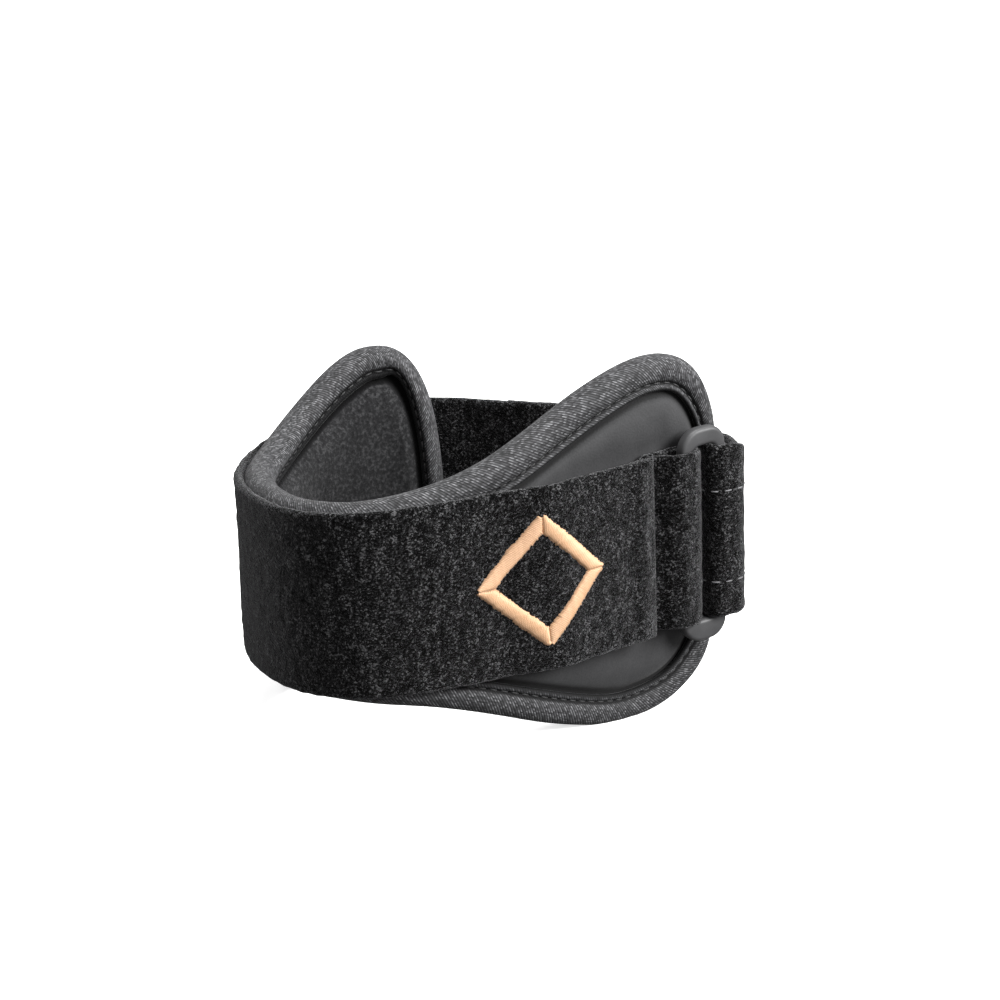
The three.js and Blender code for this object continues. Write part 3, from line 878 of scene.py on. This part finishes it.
onPadOut = strap["thickness"] / 2
onTabOut = 2 * (tab["thickness"] + pad["gap"]) + strap["thickness"] / 2
onStrapOut = strap["thickness"] * 1.5 + pad["gap"]
onHookOut = onStrapOut + hooks["thickness"] + pad["gap"]


# Height of the strap's middle over the pad or the tab, and over itself or the hook tape
def strapOut(at):
    return mix(onPadOut, onTabOut, smooth(at, tab["endAt"] - strap["rise"], tab["endAt"]))


def looseOut(at):
    return mix(onStrapOut, onHookOut, smooth(at, 0, hooks["at"] - hooks["thickness"]))


def alongLoop(start, end, out):
    at = np.linspace(start, end, math.ceil(abs(end - start) / strap["pitch"]) + 1)
    return onLoop(at, 0, out(at))[:, :2]


def strapRoute():
    foldAt = ring["at"] + barOffset
    worn = alongLoop(loopLength + strap["hemAt"], foldAt, lambda at: strapOut(at - loopLength))
    loose = alongLoop(0, strap["freeEndAt"], looseOut)
    return np.concatenate([worn[:-1], turnRound(1, strap["thickness"]), loose])


def tabRoute():
    inner = tab["thickness"] / 2
    outer = inner + tab["thickness"] + pad["gap"]
    barAt = ring["at"] - barOffset - 2 * ring["barGap"]
    under = alongLoop(tab["endAt"], barAt, lambda at: np.full_like(at, inner))
    over = alongLoop(tab["hemAt"] + pad["gap"], tab["endAt"], lambda at: np.full_like(at, outer))
    return np.concatenate([under, turnRound(-1, tab["thickness"]), over])


# Places round a flat band's section, round at both edges: height, share of half the thickness and
# how far each faces up or down
def bandSection(width, thickness, step):
    flatHalf = (width - thickness) / 2
    up = np.linspace(-flatHalf, flatHalf, max(2, round(2 * flatHalf / step)) + 1)
    bend = np.linspace(0, math.pi, 7)[1:-1]
    rise = np.sin(bend) * thickness / 2
    height = np.concatenate([up, flatHalf + rise, up[::-1], -flatHalf - rise])
    offset = np.concatenate([np.ones(len(up)), np.cos(bend), -np.ones(len(up)), -np.cos(bend)])
    facing = np.concatenate([0 * up, np.sin(bend), 0 * up, -np.sin(bend)])
    return height, offset, facing


# A flat band of cloth on edge along a plan route, rough with pile. Trims gives how much is taken off
# the top and bottom edges at plan places, and extra how much thicker the band is along its length.
def bandPiece(name, route, size, middle, step, pile, seed, trims=None, extra=None):
    width, thickness = size
    line = evenly(curveThrough(route), step)
    at = lengths(line)
    ends = np.array([0.0, 0.12, 0.4]) * thickness
    inner = at[(at > ends[-1] + 0.2) & (at < at[-1] - ends[-1] - 0.2)]
    where = np.concatenate([ends, inner, at[-1] - ends[::-1]])
    plan = sampled(line, at, where)
    run = normalised(sampled(np.gradient(line, axis=0), at, where))
    across = np.stack([run[:, 1], -run[:, 0]], -1)
    height, offset, facing = bandSection(width, thickness, step)
    near = np.minimum(where, where[-1] - where) / (thickness / 2)
    thin = np.sqrt(1 - (1 - np.clip(near, 0.04, 1)) ** 2)[:, None]
    thick = thin * (1 + (extra(where)[:, None] if extra else 0))
    rough = pile * unevenness(len(where), len(height), seed, (1.0, 1.3))
    out = offset * thickness / 2 * thick + np.sign(offset) * rough * thin
    out = out + strap["wave"] * unevenness(len(where), 1, seed + 1, (14, 0.1)) * (pile > 0)
    up = np.broadcast_to(height, out.shape)
    if trims:
        top, bottom = trims(plan, where)
        up = up * (1 - np.where(up > 0, top[:, None], bottom[:, None]) / (width / 2))
    points = plan[:, None] + across[:, None] * out[..., None]
    points = np.concatenate([points, (middle + up + facing * rough / 2)[..., None]], -1)
    return gridPiece(name, points, capped=True)


# Both edges are squeezed by the ring, and the loose end sits a little lower than the rest
def strapTrims(plan, where):
    at = nearestAt(plan)
    top = dip["depth"] * smooth(at, dip["from"], dip["full"]) * (1 - smooth(at, dip["until"], dip["to"]))
    squeeze = strap["squeeze"] * bump(at, ring["at"] + barOffset, strap["squeezeWidth"])
    loose = where > where[-1] - strap["freeEndAt"]
    top = np.maximum(top, squeeze) + dip["looseEnd"] * loose * smooth(at, dip["looseFrom"], dip["looseTo"])
    bottom = np.maximum(dip["corner"] * bump(at, dip["cornerAt"], dip["cornerWidth"]), squeeze)
    rise = strap["backRise"] * bump(at, strap["backRiseAt"], strap["backRiseWidth"])
    return top - rise, bottom + rise


def tabTrims(plan, where):
    taper = tab["taper"] * (1 - smooth(nearestAt(plan), tab["hemAt"] - 3, tab["hemAt"]))
    return taper, taper


# The sewn end is turned under, so it is a little thicker, and round at its very end
def strapExtra(where):
    thick = strap["hemExtra"] * (1 - smooth(where, strap["hemLength"] - 3, strap["hemLength"]))
    return thick - (strap["hemExtra"] + strap["hemRound"]) * (1 - smooth(where, 0, 3.5))


def makeStrap():
    piece = bandPiece("velour_strap", strapRoute(), (strap["width"], strap["thickness"]), 0,
                      strap["step"], strap["pile"], 3, strapTrims, strapExtra)
    finishPiece(piece, velourCloth, "loop_strap", "strap")


def makeTab():
    size = strap["width"] - 2 * tab["inset"], tab["thickness"]
    piece = bandPiece("velour_tab", tabRoute(), size, 0, tab["step"], tab["pile"], 5, tabTrims)
    finishPiece(piece, velourCloth, "loop_strap", "ring_tab")


makeStrap()
makeTab()
print("strap and tab made")


# Into edit mode with only the corners on one side picked
def pickCorners(piece, side):
    bpy.ops.object.mode_set(mode="EDIT")
    bpy.ops.mesh.select_mode(type="VERT")
    bpy.ops.mesh.select_all(action="DESELECT")
    bpy.ops.object.mode_set(mode="OBJECT")
    for vertex in piece.data.vertices:
        vertex.select = vertex.co.x * side > 0
    bpy.ops.object.mode_set(mode="EDIT")


# The ring is drawn flat, its corners rounded, hollowed, thickened and eased, then stood on the loop
def makeRing():
    bpy.ops.object.select_all(action="DESELECT")
    bpy.ops.mesh.primitive_plane_add(size=1)
    piece = bpy.context.object
    piece.name = piece.data.name = "moulded_ring"
    width = ring["right"] - ring["left"]
    piece.scale = (width, ring["height"], 1)
    bpy.ops.object.transform_apply(location=False, rotation=False, scale=True)
    for side, corner in ((-1, ring["leftCorner"]), (1, ring["rightCorner"])):
        pickCorners(piece, side)
        bpy.ops.mesh.bevel(affect="VERTICES", offset=corner, offset_type="OFFSET", segments=10)
        bpy.ops.object.mode_set(mode="OBJECT")
    bpy.ops.object.mode_set(mode="EDIT")
    bpy.ops.mesh.select_mode(type="FACE")
    bpy.ops.mesh.select_all(action="SELECT")
    rim = (width - ring["holeWidth"]) / 2
    bpy.ops.mesh.inset(thickness=rim)
    stretch = ring["holeHeight"] / (ring["height"] - 2 * rim)
    bpy.ops.transform.resize(value=(1, stretch, 1))
    bpy.ops.transform.translate(value=(0, ring["lowered"], 0))
    bpy.ops.mesh.delete(type="FACE")
    bpy.ops.mesh.select_all(action="SELECT")
    bpy.ops.mesh.extrude_region_move(TRANSFORM_OT_translate={"value": (0, 0, ring["thickness"])})
    bpy.ops.mesh.select_all(action="SELECT")
    shift = ((ring["left"] + ring["right"]) / 2, -ring["lowered"], -ring["thickness"] / 2)
    bpy.ops.transform.translate(value=shift)
    bpy.ops.object.mode_set(mode="OBJECT")
    facesOut(piece)
    applyModifier(piece, "BEVEL", width=ring["edgeRound"], segments=5, limit_method="ANGLE",
                  angle_limit=math.radians(50), use_clamp_overlap=False)
    plan = byRing(0, 0)
    piece.data.transform(Matrix((
        (ringRun[0], 0, ringOutward[0], plan[0]),
        (ringRun[1], 0, ringOutward[1], plan[1]),
        (0, 1, 0, 0),
        (0, 0, 0, 1),
    )))
    points = np.empty(len(piece.data.vertices) * 3)
    piece.data.vertices.foreach_get("co", points)
    piece.data.vertices.foreach_set("co", place(points.reshape(-1, 3)).ravel())
    piece.data.update()
    facesOut(piece)
    bpy.ops.object.shade_smooth_by_angle(angle=math.radians(40))
    finishPiece(piece, ringPlastic, "grey_plastic", "ring")


makeRing()
print("ring made")


# Tape between the strap and its loose end, with rows of small bent hooks on its inner side
def makeHookTape():
    start, end = hooks["at"], strap["freeEndAt"] - hooks["margin"]
    face = strap["thickness"] + pad["gap"] + hooks["height"]
    backing = hooks["thickness"] - hooks["height"]
    route = alongLoop(start, end, lambda at: np.full_like(at, face + backing / 2))
    piece = bandPiece("hook_tape", route, (hooks["width"], backing), -hooks["drop"], 0.8, 0.0, 6)
    finishPiece(piece, hookPlastic, "hook_tape", "hook_patch")
    low = -hooks["width"] / 2 + hooks["margins"]
    at = np.arange(start + hooks["margins"], end - hooks["margins"] / 2, hooks["spacing"])
    up = np.arange(low, -low, hooks["spacing"]) - hooks["drop"]
    at, up = (v.reshape(-1, 1) for v in np.meshgrid(at, up, indexing="ij"))
    bend = np.array([0, 0, 0.24, 0.8, 1.0]) * hooks["reach"]
    sink = np.array([-0.1, 0.3, 0.5, 0.5, 0.3])
    lines = onLoop(at + bend, up + 0 * bend, face - sink)
    outward = np.broadcast_to([0.0, 0.0, 1.0], lines.shape)
    finishPiece(tubes("hook_tape_hooks", lines, outward, hooks["wire"], 4, 1.0), hookPlastic, "hook_tape")


makeHookTape()
print("hook tape made")

# Embroidered rhombus: satin stitches laid side by side across the stroke, mitred at the corners
mark = {
    "at": -54.4, "width": 27, "height": 28, "stroke": 3.1, "pitch": 0.36, "shortest": 0.7,
    "thread": 0.25, "crown": 0.62, "sink": 0.12, "unequal": 0.05,
}


def makeMark():
    reach = (np.array([mark["width"], mark["height"]]) - mark["stroke"]) / 2
    corners = np.array([(1, 0), (0, 1), (-1, 0), (0, -1)]) * reach
    half = mark["stroke"] / 2
    rng = np.random.default_rng(21)
    t = np.linspace(0, 1, 7)
    lines = []
    for k in range(4):
        start, end = corners[k], corners[(k + 1) % 4]
        side = np.linalg.norm(end - start)
        run = (end - start) / side
        outward = np.array([run[1], -run[0]])
        spill = [half * math.tan(math.pi / 2 - abs(math.acos(run @ -corner / np.linalg.norm(corner))))
                 for corner in (start, -end)]
        for s in np.arange(-spill[0], side + spill[1], mark["pitch"]):
            low = max(-1, -s / spill[0], -(side - s) / spill[1])
            if (1 - low) * half < mark["shortest"]:
                continue
            low, high = np.array([low, 1]) + rng.normal(scale=mark["unequal"], size=2)
            flat = start + run * s + outward * (half * mix(low, high, t))[:, None]
            at = mark["at"] + flat[:, 0]
            crown = np.sqrt(1 - (2 * t - 1) ** 2) * mark["crown"] - mark["sink"]
            lift = crown + rng.normal(scale=mark["unequal"] / 2)
            lines.append(onLoop(at, flat[:, 1], strapOut(at) + strap["thickness"] / 2 + lift))
    lines = np.array(lines)
    outward = onLoop([mark["at"]], 0, 1) - onLoop([mark["at"]], 0, 0)
    piece = tubes("satin_rhombus", lines, np.broadcast_to(outward, lines.shape), mark["thread"])
    finishPiece(piece, markThread, "mark_thread", "embroidered_mark")


makeMark()
print("rhombus embroidered")

# Two pale seams along the loose end hold the hook tape
seams = {
    "rows": (9.3, -11.2), "before": 26, "endMargin": 5,
    "length": 2.2, "gap": 0.8, "thread": 0.17, "lift": 0.14, "sink": 0.25,
}


def makeStrapSeams():
    line = evenly(curveThrough(strapRoute()), strap["step"])
    run = normalised(np.gradient(line, axis=0))
    outward = np.stack([run[:, 1], -run[:, 0], np.zeros(len(run))], -1)
    at = lengths(line)
    start, end = at[-1] - strap["freeEndAt"] - seams["before"], at[-1] - seams["endMargin"]
    chosen = (at > start) & (at < end)
    lines, ups = [], []
    for height in seams["rows"]:
        face = np.concatenate([line, np.full((len(line), 1), height)], 1)
        face = (face + outward * strap["thickness"] / 2)[chosen]
        each, up = stitches(face, outward[chosen], seams["length"], seams["gap"], seams["lift"],
                            seams["sink"])
        lines.append(each)
        ups.append(up)
    piece = tubes("strap_stitches", np.concatenate(lines), np.concatenate(ups), seams["thread"])
    finishPiece(piece, paleThread, "loop_strap")


makeStrapSeams()
print("strap sewn")

# Studio: a white table that glows for the eye only, pale surroundings, a soft key lamp from the upper
# right, one above and a weak one behind
studio = {
    "floorSize": 60, "glow": 0.66, "bounce": "#6a6a6a", "surroundings": 0.5,
    "lamps": {
        "key": {"power": 22.0, "place": (0.8, -0.4, 0.55), "size": 0.45},
        "top": {"power": 12.0, "place": (0.1, -0.1, 1.0), "size": 0.5},
        "back": {"power": 2.5, "place": (-0.6, 0.8, 0.6), "size": 0.6},
    },
}


def makeStudio():
    bpy.ops.object.select_all(action="DESELECT")
    bpy.ops.mesh.primitive_plane_add(size=studio["floorSize"])
    floor = bpy.context.object
    floor.name = "floor"
    material, tree = newMaterial("acrylicTable")
    shader = addNode(tree, "BsdfPrincipled", {
        "Base Color": colour("#f4f4f4"), "Roughness": 0.9, "Emission Color": colour("#ffffff"),
        "Emission Strength": studio["glow"]})
    dim = addNode(tree, "BsdfDiffuse", {"Color": colour(studio["bounce"])})
    seen = addNode(tree, "LightPath", {})
    both = addNode(tree, "MixShader", {}, {0: (seen, "Is Camera Ray"), 1: (dim, "BSDF"), 2: (shader, "BSDF")})
    addNode(tree, "OutputMaterial", {}, {"Surface": (both, "Shader")})
    material.cycles.emission_sampling = "NONE"
    floor.data.materials.append(material)
    world = bpy.data.worlds.new("surroundings")
    world.use_nodes = True
    background = world.node_tree.nodes["Background"]
    background.inputs["Color"].default_value = colour("#ffffff")
    eye = addNode(world.node_tree, "LightPath", {})
    strength = addNode(world.node_tree, "MapRange", {"To Min": studio["surroundings"]},
                       {"Value": (eye, "Is Camera Ray")})
    world.node_tree.links.new(strength.outputs["Result"], background.inputs["Strength"])
    scene.world = world
    for name, lamp in studio["lamps"].items():
        light = bpy.data.lights.new(name, "AREA")
        light.energy, light.size = lamp["power"], lamp["size"]
        stood = bpy.data.objects.new(name, light)
        stood.location = lamp["place"]
        aim = Vector((0, 0, 0.035)) - stood.location
        stood.rotation_euler = aim.to_track_quat("-Z", "Y").to_euler()
        scene.collection.objects.link(stood)
    scene.view_settings.view_transform = "Standard"


makeStudio()
print("studio lit")
